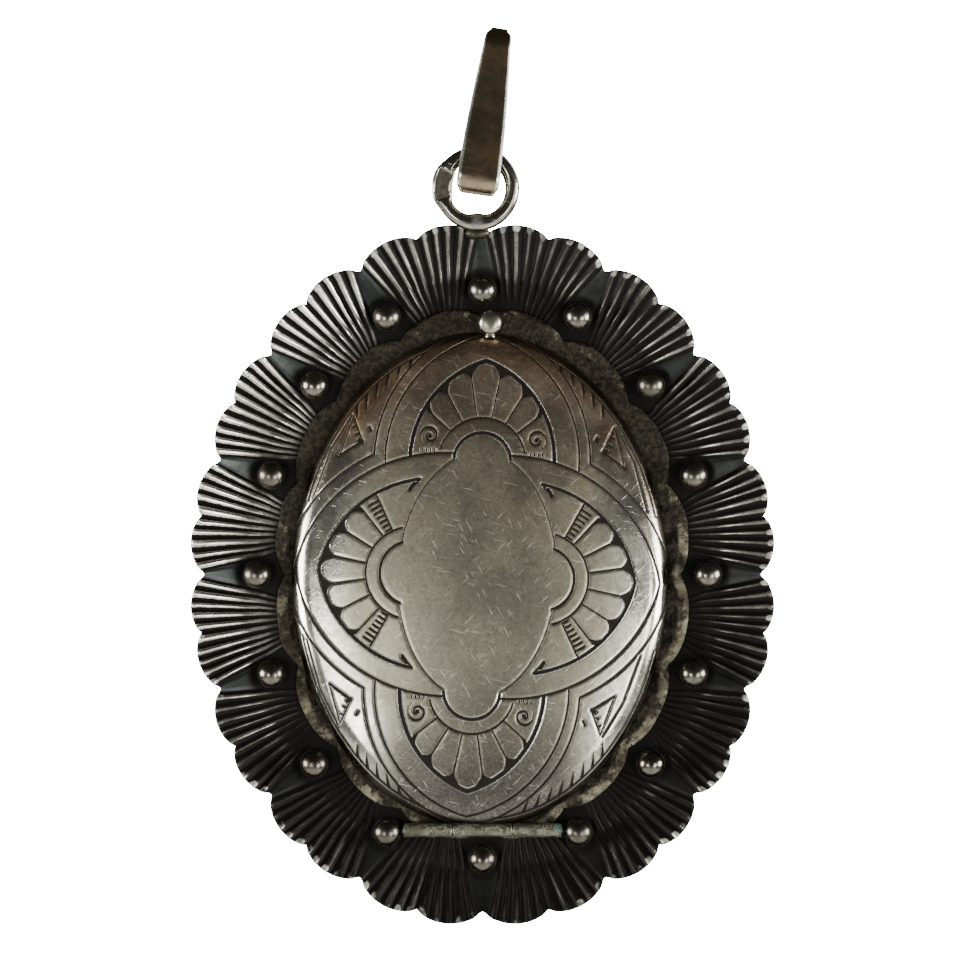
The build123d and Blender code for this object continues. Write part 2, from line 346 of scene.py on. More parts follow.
def build_bead(number):
    """Soldered ball: circles of latitude whose radius follows a sphere down to a narrow foot."""
    x0, _, z0 = middle(f"bead_{number + 1:02d}")
    centre = SEAT + BEAD_R - (2 * BEAD_R - (depths("bead_01")[1] - SEAT))
    lat = np.linspace(0.04, 0.72 * pi, 18)
    radius = BEAD_R * np.sin(lat)
    depth = centre + BEAD_R * np.cos(lat)
    radius = np.append(radius, [BEAD_R * 0.74, BEAD_R * 0.78, BEAD_R * 0.74])
    depth = np.append(depth, [SEAT + 0.1, SEAT + 0.01, SEAT - 0.1])
    around = round_angles(BEAD_COLUMNS)
    dent = 1 + 0.012 * wander(around / TURN, 50 + number, 5)
    x = x0 + radius[:, None] * np.cos(around) * dent
    z = z0 + radius[:, None] * np.sin(around) * dent
    # Oxide, and painted contact shade, darken the side and foot of each ball where it meets the frame.
    recess = smooth_step(1.1, 1.75, np.append(lat, [2.2, 2.3, 2.4]))[:, None] * np.ones(BEAD_COLUMNS)
    return capped(
        f"bead_{number + 1:02d}_visual",
        stood(x, depth[:, None], z),
        stood(x0, centre + BEAD_R, z0),
        stood(x0, SEAT - 0.1, z0),
        {"recess": recess},
        60,
    )


# ---- ledge and case


def case_oval(section):
    """Points round the case's oval: each section point gives how far outside the oval, and a depth."""
    grow, depth = section[:, :1], section[:, 1:]
    angle = round_angles(CASE_COLUMNS)
    return stood((CASE_W + grow) * np.cos(angle), depth, (CASE_H + grow) * np.sin(angle))


LEDGE_AT_BEAD = -2.1
LEDGE_BETWEEN = -1.25
LEDGE_INSIDE = -4.2
LEDGE_COLUMNS = 1280
LEDGE_UNEVEN = 0.07
CASE_COLUMNS = 512


def build_ledge():
    """Flat plate with a round lobe between each two beads: its offset from the bead line is a rounded
    wave, and its face is uneven with old grime."""
    fraction = np.arange(LEDGE_COLUMNS) / LEDGE_COLUMNS
    across = 2 * ((fraction * BEADS) % 1) - 1
    edge = LEDGE_AT_BEAD + (LEDGE_BETWEEN - LEDGE_AT_BEAD) * (1 - np.abs(across) ** 2.6)
    edge = edge + LEDGE_UNEVEN * wander(fraction, 21, 61) - 0.05
    face = [(-3, 0.05), (-3, 0.3), (-0.95, 0.3), (-0.7, 0.3), (-0.45, 0.3)]
    section = face + [(-0.16, 0.29), (-0.05, 0.24), (0, 0.15), (0, 0.02)]
    rows_out = np.array([edge + grow if grow > -2 else 0 * edge + LEDGE_INSIDE for grow, _ in section])
    rise = np.array([point[1] for point in section])[:, None]
    x, z = on_line(fraction[None, :], rows_out)
    lumps = 0
    for row, seed in ((3, 31), (4, 32)):
        lumps = lumps + wander(fraction, seed, 331)[None, :] * (rows_out == rows_out[row])
    waver = (0.02 * wander(fraction, 5, 23) - 0.02 + 0.03 * lumps) * (rise > 0.2)
    recess = np.array([1.0, 1.0, 0.7, 0.35, 0.1, 0.0, 0.0, 0.7, 1.0])[:, None] * np.ones(LEDGE_COLUMNS)
    return hoop("front_ledge_visual", stood(x, SEAT + rise + waver, z), {"recess": recess}, 60)


def build_back_plate():
    """Oval plate: its section runs over a rounded edge and two fine border grooves to the pole."""
    edge = [(0, 0.6), (0, 0.3), (-0.05, 0.17), (-0.16, 0.06), (-0.33, 0.0), (-1.25, 0.0)]
    border = [(-1.33, 0.05), (-1.41, 0.0), (-1.62, 0.0), (-1.68, 0.035), (-1.74, 0.0)]
    section = np.array([(-6, 0.6), (-0.8, 0.6)] + edge + border + [(-4, 0.0), (-9, 0.0)])
    points = case_oval(section)
    recess = np.isin(section[:, :1], (-1.33, -1.68)) * np.ones(CASE_COLUMNS)
    return capped("back_plate_visual", points, stood(0, 0.6, 0), stood(0, 0.0, 0), {"recess": recess}, 60)


def build_case_wall():
    """Side band with a soft belly and a solder line where it meets the frame."""
    section = [(-0.8, 0.6), (-0.8, 2.1), (0.12, 2.12), (0.05, 2.0)]
    section += [(0.0, 1.85), (0.04, 1.35), (0.0, 0.8), (-0.06, 0.6)]
    return hoop("case_wall_visual", case_oval(np.array(section)), {}, 50)


# ---- cover

ENGRAVING_AT = (-0.43, -0.08)
ENGRAVING_LEAN = radians(2.6)
SHOULDER = (13.2, 1.6)
EDGE_RISE = 0.15
KNOB_TOP = (0.0, 8.95)
KNOB_TOP_R = 2.2
KNOB_SIDE = (5.05, 0.0)
KNOB_SIDE_R = 2.5
BODY_OVAL = (6.15, 9.58)
BAND_TOP_R = 3.35
BAND_SIDE_R = 3.6
ARCH_AT = (-2.6, 9.0)
ARCH_RADII = (8.2, 10.15, 11.0)
SWEEP_AT = (2.5, -2.6)
SWEEP_RADII = (12.05, 13.1)
EYE_AT = (3.3, -1.7)
EYE_R = 9.15
SCROLL_AT = (4.15, 10.75)
PETAL_TURN = 19.8
PETALS_EACH_SIDE = 2.5
CUT_DEPTH = 0.07


def cover_rise(radius):
    """Height of the cover above its seam at a radius: a wide crown arc and then a rolled edge, tangent
    to it, both circles."""
    width, height = SHOULDER
    top = CROWN - SEAM
    drop = top - height
    crown = (width ** 2 + drop ** 2) / (2 * drop)
    lean = np.arcsin(width / crown)
    run, fall = COVER_W - width, height - EDGE_RISE
    roll = (run ** 2 + fall ** 2) / (2 * (fall * cos(lean) - run * sin(lean)))
    centre = (width - roll * sin(lean), height - roll * cos(lean))
    on_crown = top - crown + np.sqrt(np.maximum(crown ** 2 - radius ** 2, 0))
    on_roll = centre[1] + np.sqrt(np.maximum(roll ** 2 - (radius - centre[0]) ** 2, 0))
    return np.where(radius < width, on_crown, on_roll)


class Wire:
    """A value that Math nodes work out over a surface. It takes the same signs as a numpy array, so
    one set of formulas gives both the cuts in the mesh and the oxide that lies in them."""

    __array_ufunc__ = None

    def __init__(self, shader, socket):
        self.shader, self.socket = shader, socket

    def maths(self, operation, a, b=0.0, clamp=False):
        a, b = (part.socket if isinstance(part, Wire) else float(part) for part in (a, b))
        return Wire(self.shader, self.shader.value(operation, a, b, clamp))


def sign(operation, turned=False):
    def work(self, other=0.0):
        pair = (other, self) if turned else (self, other)
        return self.maths(operation, *pair)

    return work


SIGNS = {"add": "ADD", "sub": "SUBTRACT", "mul": "MULTIPLY", "truediv": "DIVIDE", "mod": "FLOORED_MODULO"}
TESTS = {"gt": "GREATER_THAN", "lt": "LESS_THAN", "and": "MULTIPLY", "abs": "ABSOLUTE", "pow": "POWER"}
for name, operation in {**SIGNS, **TESTS}.items():
    setattr(Wire, f"__{name}__", sign(operation))
for name, operation in SIGNS.items():
    setattr(Wire, f"__r{name}__", sign(operation, turned=True))


def most(a, b):
    return a.maths("MAXIMUM", a, b) if isinstance(a, Wire) else np.maximum(a, b)


def share_of_one(a):
    return a.maths("ADD", a, 0.0, clamp=True) if isinstance(a, Wire) else np.clip(a, 0, 1)


def turn_of(over, along):
    """Angle in degrees whose tangent is over / along."""
    angle = over.maths("ARCTAN2", over, along) if isinstance(over, Wire) else np.arctan2(over, along)
    return angle * (180 / pi)


def reach(p, q, centre=(0, 0)):
    """Distance from a place."""
    across, up = p - centre[0], q - centre[1]
    return (across * across + up * up) ** 0.5


def near_stroke(p, q, start, end):
    """Distance from a straight stroke."""
    run, rise = end[0] - start[0], end[1] - start[1]
    share = share_of_one(((p - start[0]) * run + (q - start[1]) * rise) / (run * run + rise * rise))
    return reach(p - share * run, q - share * rise, start)


class Engraving:
    """Depth of cut, 0 to 1, over the cover. p and q run across and up the leaning pattern, whose
    quarters mirror each other. Walls are as wide as soft: narrow for the oxide, wide for the mesh."""

    def __init__(self, x, z, soft):
        dx, dz = x - ENGRAVING_AT[0], z - ENGRAVING_AT[1]
        self.p = abs(dx * cos(ENGRAVING_LEAN) - dz * sin(ENGRAVING_LEAN))
        self.q = abs(dx * sin(ENGRAVING_LEAN) + dz * cos(ENGRAVING_LEAN))
        self.across, self.up = abs(x - COVER_X) / COVER_W, abs(z - COVER_Z) / COVER_H
        self.soft = soft
        self.depth = self.p * 0.0
        self.burr = self.p * 0.0

    def walls(self, inside):
        return share_of_one(inside / self.soft + 0.5)

    def line(self, distance, width, where=1.0, strength=1.0):
        self.depth = most(self.depth, self.walls(width / 2 - distance) * where * strength)

    def deep_line(self, distance, width, where=1.0):
        """Line with a bright burr thrown up beside it."""
        self.line(distance, width, where)
        self.burr = most(self.burr, self.walls(width / 2 + 0.1 - distance) * where)

    def sunk(self, inside, where):
        self.depth = most(self.depth, self.walls(inside) * where)


def engrave_shield(work):
    """Blank shield: a tall oval with a round knob at each end and side."""
    p, q = work.p, work.q
    body = abs(reach(p / BODY_OVAL[0], q / BODY_OVAL[1]) - 1) * 6.8
    work.line(body, 0.12, (p > 2.1) & (q > 2.45), 0.9)
    work.deep_line(abs(reach(p, q, KNOB_TOP) - KNOB_TOP_R), 0.24, q > 9.05)
    work.line(abs(reach(p, q, KNOB_SIDE) - KNOB_SIDE_R), 0.2, p > 5.8)


def engrave_sweeps(work):
    """Bands: circles swept from each end knob out to the sides, the eye shapes inside them, and the
    pointed arches that pass under them."""
    p, q = work.p, work.q
    sweep = reach(p, q, SWEEP_AT)
    arch = reach(p, q, ARCH_AT)
    eye = reach(p, q, EYE_AT)
    work.line(abs(sweep - SWEEP_RADII[0]), 0.16, p > 2.1)
    work.line(abs(sweep - SWEEP_RADII[1]), 0.14, (arch > ARCH_RADII[2] - 0.05) & (p > 7.8))
    work.deep_line(abs(eye - EYE_R), 0.24, p > 4.7)
    above = (sweep > SWEEP_RADII[0] - 0.05) & (q > 8)
    work.deep_line(abs(arch - ARCH_RADII[0]), 0.32, above)
    work.line(abs(arch - ARCH_RADII[1]), 0.15, above)
    work.line(abs(arch - ARCH_RADII[2]), 0.15, above & (sweep > SWEEP_RADII[1] - 0.05))


def engrave_petals(work, over, along, band, room):
    """Five petals round a knob. over and along are measured from the knob, along pointing away from
    the shield; room is the distance left to the line outside. Rays part the petals, whose ends are
    round: the ground between an end and the line is cut where room is less than a power of how far
    the point lies from the petal's middle."""
    turn = turn_of(over, along)
    far = reach(over, along)
    from_middle = abs((turn + PETAL_TURN / 2) % PETAL_TURN - PETAL_TURN / 2)
    to_ray = (PETAL_TURN / 2 - from_middle) * (pi / 180) * far
    edge = from_middle / (PETAL_TURN / 2)
    fan = (turn < PETAL_TURN * PETALS_EACH_SIDE) & (far > band) & (room > 0)
    wide_fan = (turn < PETAL_TURN * PETALS_EACH_SIDE + 1.5) & (far > band)
    work.line(to_ray, 0.12, wide_fan & (room > 0.25))
    end = 0.1 + 0.8 * edge * edge * edge
    work.sunk(end - room, fan)
    work.line(abs(far - band), 0.15, turn < 76)
    return turn, far


def engrave_fans(work):
    p, q = work.p, work.q
    under_arch = ARCH_RADII[0] - reach(p, q, ARCH_AT)
    engrave_petals(work, p, q - KNOB_TOP[1], BAND_TOP_R, under_arch)
    in_eye = EYE_R - reach(p, q, EYE_AT)
    turn, far = engrave_petals(work, q, p - KNOB_SIDE[0], BAND_SIDE_R, in_eye)
    to_far_ray = abs(turn - 63) * (pi / 180) * far
    beside = (far > BAND_SIDE_R) & (in_eye > 0)
    work.line(to_far_ray, 0.14, beside)
    rung = abs(far % 0.4 - 0.2)
    work.line(rung, 0.16, (turn > 54.5) & (turn < 63) & beside & (in_eye > 0.25))


def engrave_scrolls(work):
    """Scroll in each arch's foot: an even spiral, whose arms lie one pitch apart, closed by a dot."""
    p, q = work.p, work.q
    pitch = 0.52
    across, up = p - SCROLL_AT[0], q - SCROLL_AT[1]
    far = reach(across, up)
    arm = (far + turn_of(up, across) * (pitch / 360)) % pitch
    work.line(abs(arm - pitch / 2), 0.17, (far < 0.76) & (far > 0.2))
    work.line(far, 0.36)


STROKES = [
    ((4.72, 7.34), (5.5, 6.5), 0.18),
    ((5.5, 6.5), (5.2, 6.95), 0.3),
    ((13.0, 5.6), (11.8, 9.4), 0.13),
    ((11.8, 9.4), (10.3, 12.1), 0.13),
    ((11.1, 8.9), (9.35, 10.05), 0.17),
    ((9.4, 10.05), (9.62, 10.15), 0.34),
    ((9.35, 10.05), (10.15, 12.0), 0.13),
    ((10.15, 12.0), (11.1, 8.9), 0.11),
    ((9.62, 10.7), (9.95, 10.6), 0.13),
    ((9.86, 11.3), (10.16, 11.2), 0.13),
    ((8.75, 10.95), (8.88, 11.2), 0.2),
]


def engrave_corners(work):
    """Hooks beside the shield, a barbed leaf in each corner, and a border line inside the rolled edge
    with feathered nicks: the nicks repeat by angle, lean with their distance from the edge and taper."""
    p, q = work.p, work.q
    for start, end, width in STROKES:
        work.line(near_stroke(p, q, start, end), width)
    share = reach(work.across, work.up)
    corner = (q > 5.2) & (reach(p, q, ARCH_AT) > ARCH_RADII[2])
    work.line(abs(share - 0.965) * 16.5, 0.13, corner)
    inwards = 0.955 - share
    turn = turn_of(work.up, work.across) + inwards * 55
    nick = abs(turn % 4.1 - 2.05) * (pi / 180) * 17
    inner = (inwards > -0.01) & (inwards < 0.038) & corner & (turn > 44) & (turn < 78)
    work.line(nick, 0.40 - 9.0 * inwards, inner)
    foot = abs(p % 0.3 - 0.15)
    work.line(foot, 0.13, (p > 3.5) & (p < 4.9) & (q > 9.45) & (q < 9.72))


def engrave(x, z, soft):
    work = Engraving(x, z, soft)
    engrave_shield(work)
    engrave_sweeps(work)
    engrave_fans(work)
    engrave_scrolls(work)
    engrave_corners(work)
    return work


COVER_GRID = (250, 326)
EDGE_AT = 0.963
MESH_SOFT = 0.16
OXIDE_SOFT = 0.035


def build_cover():
    """Domed skin. The face is a square grid eased into a disc, x = u sqrt(1 - v v / 2) and so on, then
    stretched to the oval and lifted by cover_rise(); rows of rings close its edge and its inside."""
    columns, rows = COVER_GRID
    u, v = np.meshgrid(np.linspace(-1, 1, columns), np.linspace(-1, 1, rows))
    a, b = u * np.sqrt(1 - v * v / 2), v * np.sqrt(1 - u * u / 2)
    share = np.hypot(a, b)
    ease = 1.12 - 0.12 * np.minimum(share, 1) ** 2
    a, b, share = a * ease, b * ease, share * ease
    x, z = COVER_X + COVER_W * a, COVER_Z + COVER_H * b
    cuts = engrave(x, z, MESH_SOFT).depth
    depth = SEAM + cover_rise(COVER_W * share) - CUT_DEPTH * cuts
    face = stood(x, depth, z).reshape(-1, 3)
    index = np.arange(rows * columns).reshape(rows, columns)
    rim = np.concatenate([index[0, :-1], index[:-1, -1], index[-1, :0:-1], index[:0:-1, 0]])
    turn = np.arctan2(b.ravel()[rim], a.ravel()[rim])
    inside = [(1.0, 0.06), (0.994, 0.0), (0.962, 0.0), (0.958, 0.1)]
    for inner in (0.95, 0.93, 0.9, 0.85, 0.7, 0.4):
        inside.append((inner, float(cover_rise(COVER_W * inner / EDGE_AT)) - COVER_WALL))
    ring_share = np.array([point[0] for point in inside])[:, None]
    ring_rise = np.array([point[1] for point in inside])[:, None]
    ring_x = COVER_X + COVER_W * ring_share * np.cos(turn)
    ring_z = COVER_Z + COVER_H * ring_share * np.sin(turn)
    rings = stood(ring_x, SEAM + ring_rise * np.ones_like(ring_x), ring_z)
    pole = stood(COVER_X, CROWN - COVER_WALL, COVER_Z)
    points = np.concatenate([face, rings.reshape(-1, 3), [pole]])
    count, around = len(face), len(rim)
    first = np.arange(around) + count
    band = np.stack([np.roll(rim, -1), rim, first, np.roll(first, -1)], axis=-1)
    inner_rows = grid_faces(len(inside), around, False, True, count)[:, ::-1]
    last = first + (len(inside) - 1) * around
    face_quads = grid_faces(rows, columns, False, False)
    faces = [face_quads, band, inner_rows, fan(last, len(points) - 1, flip=True)]
    shares = np.ones(len(points))
    shares[:count] = share.ravel()
    shares[count + 2 * around:] = 0.5
    outside = np.append(np.ones(count), np.zeros(len(points) - count))
    masks = {"edge_share": shares, "outside": outside}
    return add_piece("front_cover_visual", points, faces, masks, 60)


# ---- nib and hinge


def build_nib():
    """Pressed ball: circles of latitude on a flattened sphere, its front face worn nearly flat."""
    x0, depth0, _ = middle("thumb_nib")
    lat = np.linspace(0.05, pi - 0.05, 26)
    around = round_angles(48)
    radius = NIB_R * np.sin(lat)[:, None] ** 0.75
    x = x0 + radius * np.cos(around)
    z = NIB_Z + radius * np.sin(around) * 1.02
    thick = NIB_HALF_THICK * np.sign(np.cos(lat)) * np.abs(np.cos(lat)) ** 0.8
    front = depth0 + thick[:, None] * np.ones_like(around)
    start, end = (stood(x0, depth0 + way * (NIB_HALF_THICK + 0.005), NIB_Z) for way in (1, -1))
    return capped("thumb_nib_visual", stood(x, front, z), start, end, {}, 60)


def build_nib_neck():
    """Short stem from the nib down into the cover's edge: circles stacked along Z, flared at the foot."""
    x0, depth0, _ = middle("thumb_nib")
    depth0 -= NECK_SET_BACK
    top, foot = 0.4, 1.14
    fall = np.linspace(top, foot, 10)[:, None]
    around = round_angles(32)
    radius = NECK_R + 0.06 * smooth_step(0.75, 1.1, fall)
    x = x0 + radius * np.cos(around)
    depth = depth0 + radius * np.sin(around)
    start, end = stood(x0, depth0, NIB_Z - top), stood(x0, depth0, NIB_Z - foot)
    return capped("thumb_nib_neck", stood(x, depth, NIB_Z - fall), start, end, {}, 60)


def build_knuckle(node, seed):
    """Turned rod on the hinge's axis, as long as the CAD node, with rounded ends and a slightly uneven
    surface."""
    joint = next(j for j in frame["joints"] if j["name"] == "cover_open")
    axis_depth, axis_z = -joint["pos_m"][1] / MM, joint["pos_m"][2] / MM
    low, high = (corner.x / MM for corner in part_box(node))
    ends = KNUCKLE_ROUND
    step = np.linspace(0, pi / 2, 5)
    along = np.concatenate([low + ends * (1 - np.cos(step)), high - ends * (1 - np.cos(step[::-1]))])
    size = KNUCKLE_R - ends * (1 - np.sin(np.concatenate([step, step[::-1]])))
    straight = np.linspace(low + ends, high - ends, 14)[1:-1]
    along = np.insert(along, 5, straight)
    size = np.insert(size, 5, np.full(len(straight), KNUCKLE_R))
    around = round_angles(40)
    uneven = 1 + 0.02 * wander(along / 7.0, seed, 7)[:, None]
    depth = axis_depth + size[:, None] * uneven * np.cos(around)
    z = axis_z + size[:, None] * uneven * np.sin(around)
    start, end = stood(low, axis_depth, axis_z), stood(high, axis_depth, axis_z)
    return capped(node + "_visual", stood(along[:, None], depth, z), start, end, {}, 60)


# ---- ring and bail

RING_AT = (-0.42, 30.1)
RING_DEPTH = 4.3
RING_R = 2.75
RING_WIRE = 0.55
SOLDER_DEPTH = 4.1
SOLDER_Z = 26.62
BAIL_LEAN = radians(8)
BAIL_LOW = -0.5
BAIL_HIGH = 12.62
BAIL_INSIDE = 1.15
BAIL_STRIP = 0.4
BAIL_FOOT_WIDTH = 3.36
BAIL_TAPER = 1.46
PAD_TURN = pi - 0.12
PAD_REACH = 0.52
PAD_SPREADS = 0.26
PAD_THINS = 0.1
PAD_RECESS = 0.1


def build_ring():
    """Wire circle whose section is a flattened superellipse. Near its left the wire spreads into a
    flat pad with a shallow blank recess, and at its foot it swells into solder."""
    columns, rows = 300, 64
    turn = round_angles(columns)
    section = round_angles(rows)
    pad = np.exp(-(((turn - PAD_TURN) / PAD_REACH) ** 4))
    foot_turn = (turn - 1.5 * pi + pi) % TURN - pi
    foot = np.exp(-((foot_turn / 0.3) ** 2))
    wide = RING_WIRE + PAD_SPREADS * pad + 0.16 * foot
    thick = RING_WIRE - PAD_THINS * pad + 0.02 * foot
    power = 1 - 0.35 * pad
    c, s = np.cos(section)[:, None], np.sin(section)[:, None]
    radial = np.sign(c) * np.abs(c) ** power * wide
    depth = np.sign(s) * np.abs(s) ** power * thick
    radial = radial - 0.12 * foot
    at = RING_R + radial
    x = RING_AT[0] + at * np.cos(turn)
    z = RING_AT[1] + at * np.sin(turn)
    length = np.abs((turn - PAD_TURN) * RING_R)
    inside = smooth_step(0.62, 0.5, np.abs(radial)) * smooth_step(1.25, 1.0, length) * (s > 0)
    depth = RING_DEPTH + depth - PAD_RECESS * inside
    recess = 0.6 * inside + 0.4 * foot * np.ones_like(s)
    return hoop("top_ring_visual", stood(x, depth, z), {"recess": recess}, 50)


def build_lug():
    """Solder between the ring and the frame's rim: a flattened ball, drawn out sideways along the rim."""
    lat = np.linspace(0.1, pi - 0.1, 24)
    around = round_angles(56)
    size = np.sin(lat)[:, None] ** 0.8
    lumpy = 1 + 0.07 * wander(around / TURN, 77, 9)
    x = RING_AT[0] + 0.98 * size * np.cos(around) * lumpy
    z = SOLDER_Z + 0.52 * size * np.sin(around) * lumpy
    depth = SOLDER_DEPTH + 0.62 * np.cos(lat)[:, None] * np.ones_like(around)
    start, end = (stood(RING_AT[0], SOLDER_DEPTH + way * 0.63, SOLDER_Z) for way in (1, -1))
    return capped("ring_solder", stood(x, depth, z), start, end, {}, 70)


def build_bail():
    """Strip carried round a closed loop: two straights and two half rounds in the leaning plane. Its
    width tapers towards the top by a power of the height, is drawn in at both turns, and its section
    is flat with bevelled edges."""
    low_turn = BAIL_LOW + BAIL_STRIP + BAIL_INSIDE
    high_turn = BAIL_HIGH - BAIL_STRIP - BAIL_INSIDE
    half_round = np.linspace(-pi / 2, pi / 2, 40)
    side = np.linspace(0, 1, 60)[1:-1]
    centre_radius = BAIL_INSIDE + BAIL_STRIP / 2
    rise = high_turn - low_turn
    path_w = np.concatenate([
        high_turn + centre_radius * np.cos(half_round),
        high_turn - rise * side,
        low_turn - centre_radius * np.cos(half_round),
        low_turn + rise * side,
    ])
    path_d = np.concatenate([
        centre_radius * np.sin(half_round),
        np.full(len(side), centre_radius),
        -centre_radius * np.sin(half_round),
        np.full(len(side), -centre_radius),
    ])
    normal_w = np.concatenate([np.cos(half_round), 0 * side, -np.cos(half_round), 0 * side])
    normal_d = np.concatenate([np.sin(half_round), 0 * side + 1, -np.sin(half_round), 0 * side - 1])
    share = (path_w - BAIL_LOW) / (BAIL_HIGH - BAIL_LOW)
    width = BAIL_FOOT_WIDTH - BAIL_TAPER * np.clip(share, 0, 1) ** 1.7
    width = width * (1 - 0.24 * smooth_step(0.6, -0.5, path_w) ** 1.6)
    width = width * (1 - 0.34 * smooth_step(11.75, 12.42, path_w) ** 2)
    outer_u, outer_t = [0.3, 0.8, 0.9, 0.985, 1], [1.0, 1.0, 0.9, 0.55, 0]
    inner_u, inner_t = [0.96, 0.6, 0.2], [-0.8, -0.9, -0.92]
    section_u = np.array([-u for u in outer_u[::-1]] + outer_u + inner_u + [-u for u in inner_u[::-1]])
    section_t = np.array(outer_t[::-1] + outer_t + inner_t + inner_t[::-1])
    u = section_u[:, None] * width / 2
    t = section_t[:, None] * BAIL_STRIP / 2
    w = path_w + normal_w * t
    d = path_d + normal_d * t
    x = RING_AT[0] + u * cos(BAIL_LEAN) + w * sin(BAIL_LEAN)
    z = RING_AT[1] - u * sin(BAIL_LEAN) + w * cos(BAIL_LEAN)
    worn = (np.abs(section_u) > 0.88)[:, None] * np.ones(len(path_w))
    return hoop("bail_visual", stood(x, RING_DEPTH + d, z), {"worn": worn}, 40)


# ---- shader groups and materials


class Shader:
    """Small helper over one node tree: node() adds a node, put() sets or joins one of its sockets, and
    the others give the socket of a common node."""

    def __init__(self, tree):
        self.tree = tree
        self.surface = None

    def node(self, kind, inputs=None, **settings):
        made = self.tree.nodes.new(kind)
        for key, value in settings.items():
            setattr(made, key, value)
        for key, value in (inputs or {}).items():
            self.put(made.inputs[key], value)
        return made

    def put(self, socket, value):
        if isinstance(value, bpy.types.NodeSocket):
            self.tree.links.new(value, socket)
        else:
            socket.default_value = value

    def feed(self, socket, value):
        """Sets or joins a socket of the material's surface."""
        self.put(self.surface.inputs[socket], value)

    def fed(self, socket):
        """What already feeds a socket of the surface."""
        return self.surface.inputs[socket].links[0].from_socket

    def value(self, operation, a, b=0.0, clamp=False):
        made = self.node("ShaderNodeMath", {0: a, 1: b}, operation=operation, use_clamp=clamp)
        return made.outputs[0]

    def times(self, a, b, clamp=False):
        return self.value("MULTIPLY", a, b, clamp)

    def plus(self, a, b):
        return self.value("ADD", a, b)

    def place(self):
        return self.node("ShaderNodeTexCoord").outputs["Object"]

    def split(self, where):
        return self.node("ShaderNodeSeparateXYZ", {0: where}).outputs[:3]

    def seen(self, kind):
        return self.node("ShaderNodeLightPath").outputs[kind]

    def mask(self, name):
        return self.node("ShaderNodeAttribute", attribute_name=name).outputs["Fac"]

    def group(self, tree, inputs):
        return self.node("ShaderNodeGroup", inputs, node_tree=tree).outputs

    def most(self, a, b):
        return self.value("MAXIMUM", a, b)

    def blend(self, share, a, b):
        made = self.node("ShaderNodeMix", data_type="RGBA")
        self.put(made.inputs[0], share)
        self.put(made.inputs[6], a)
        self.put(made.inputs[7], b)
        return made.outputs[2]

    def between(self, share, low, high):
        made = self.node("ShaderNodeMapRange", {"Value": share, "To Min": low, "To Max": high})
        return made.outputs[0]

    def noise(self, where, scale, detail=4.0, rough=0.55, stretch=None):
        if stretch:
            where = self.node("ShaderNodeMapping", {"Vector": where, "Scale": stretch}).outputs[0]
        made = self.node(
            "ShaderNodeTexNoise", {"Vector": where, "Scale": scale, "Detail": detail, "Roughness": rough}
        )
        return made.outputs[0]

    def bump(self, height, strength, distance, over=None):
        made = self.node("ShaderNodeBump", {"Strength": strength, "Distance": distance, "Height": height})
        if over is not None:
            self.put(made.inputs["Normal"], over)
        return made.outputs[0]

    def step(self, value, low, high):
        made = self.node("ShaderNodeMapRange", {"Value": value, "From Min": low, "From Max": high})
        made.interpolation_type = "SMOOTHSTEP"
        return made.outputs[0]


def new_group(name, inputs, outputs):
    tree = bpy.data.node_groups.new(name, "ShaderNodeTree")
    for label, kind, default in inputs:
        socket = tree.interface.new_socket(label, in_out="INPUT", socket_type=kind)
        if default is not None:
            socket.default_value = default
    for label, kind in outputs:
        tree.interface.new_socket(label, in_out="OUTPUT", socket_type=kind)
    shader = Shader(tree)
    entry = shader.node("NodeGroupInput")
    leave = shader.node("NodeGroupOutput")
    return tree, shader, entry, leave


def group_tarnish():
    """Cloudy tarnish: two noises give a patch mask and a fine speckle."""
    tree, s, entry, leave = new_group(
        "tarnish",
        [("Patch Scale", "NodeSocketFloat", 260.0), ("Speckle Scale", "NodeSocketFloat", 2600.0)],
        [("Patches", "NodeSocketFloat"), ("Speckle", "NodeSocketFloat")],
    )
    where = s.place()
    patches = s.noise(where, entry.outputs[0], 5.0, 0.6)
    speckle = s.noise(where, entry.outputs[1], 3.0, 0.6)
    s.put(leave.inputs[0], s.step(patches, 0.38, 0.66))
    s.put(leave.inputs[1], s.step(speckle, 0.35, 0.7))
    return tree


SCRATCH_WAYS = (
    (0.5, (7400.0, 3000.0, 620.0)),
    (-0.8, (6900.0, 3000.0, 560.0)),
    (1.35, (8900.0, 3000.0, 480.0)),
)


def group_scratches():
    """Short hairline scratches in three directions and small dents, as a height and as a mask."""
    tree, s, entry, leave = new_group(
        "scratches",
        [("Amount", "NodeSocketFloat", 1.0)],
        [("Height", "NodeSocketFloat"), ("Lines", "NodeSocketFloat")],
    )
    where = s.place()
    lines = None
    for turn, scale in SCRATCH_WAYS:
        turned = s.node("ShaderNodeMapping", {"Vector": where, "Rotation": (0.0, turn, 0.0)}).outputs[0]
        fine = s.noise(turned, 1.0, 1.0, 0.5, scale)
        line = s.step(fine, 0.68, 0.76)
        lines = line if lines is None else s.most(lines, line)
    dents = s.noise(where, 1100.0, 4.0, 0.6)
    height = s.value("SUBTRACT", dents, s.times(lines, 0.3))
    s.put(leave.inputs[0], s.times(height, entry.outputs[0]))
    s.put(leave.inputs[1], s.times(lines, entry.outputs[0]))
    return tree


TARNISH = group_tarnish()
SCRATCHES = group_scratches()


def new_material(name):
    material = bpy.data.materials.new(name)
    material.use_nodes = True
    material.node_tree.nodes.clear()
    shader = Shader(material.node_tree)
    shader.surface = shader.node("ShaderNodeBsdfPrincipled")
    leave = shader.node("ShaderNodeOutputMaterial")
    shader.put(leave.inputs[0], shader.surface.outputs[0])
    return material, shader


OXIDE = (0.008, 0.007, 0.006, 1)


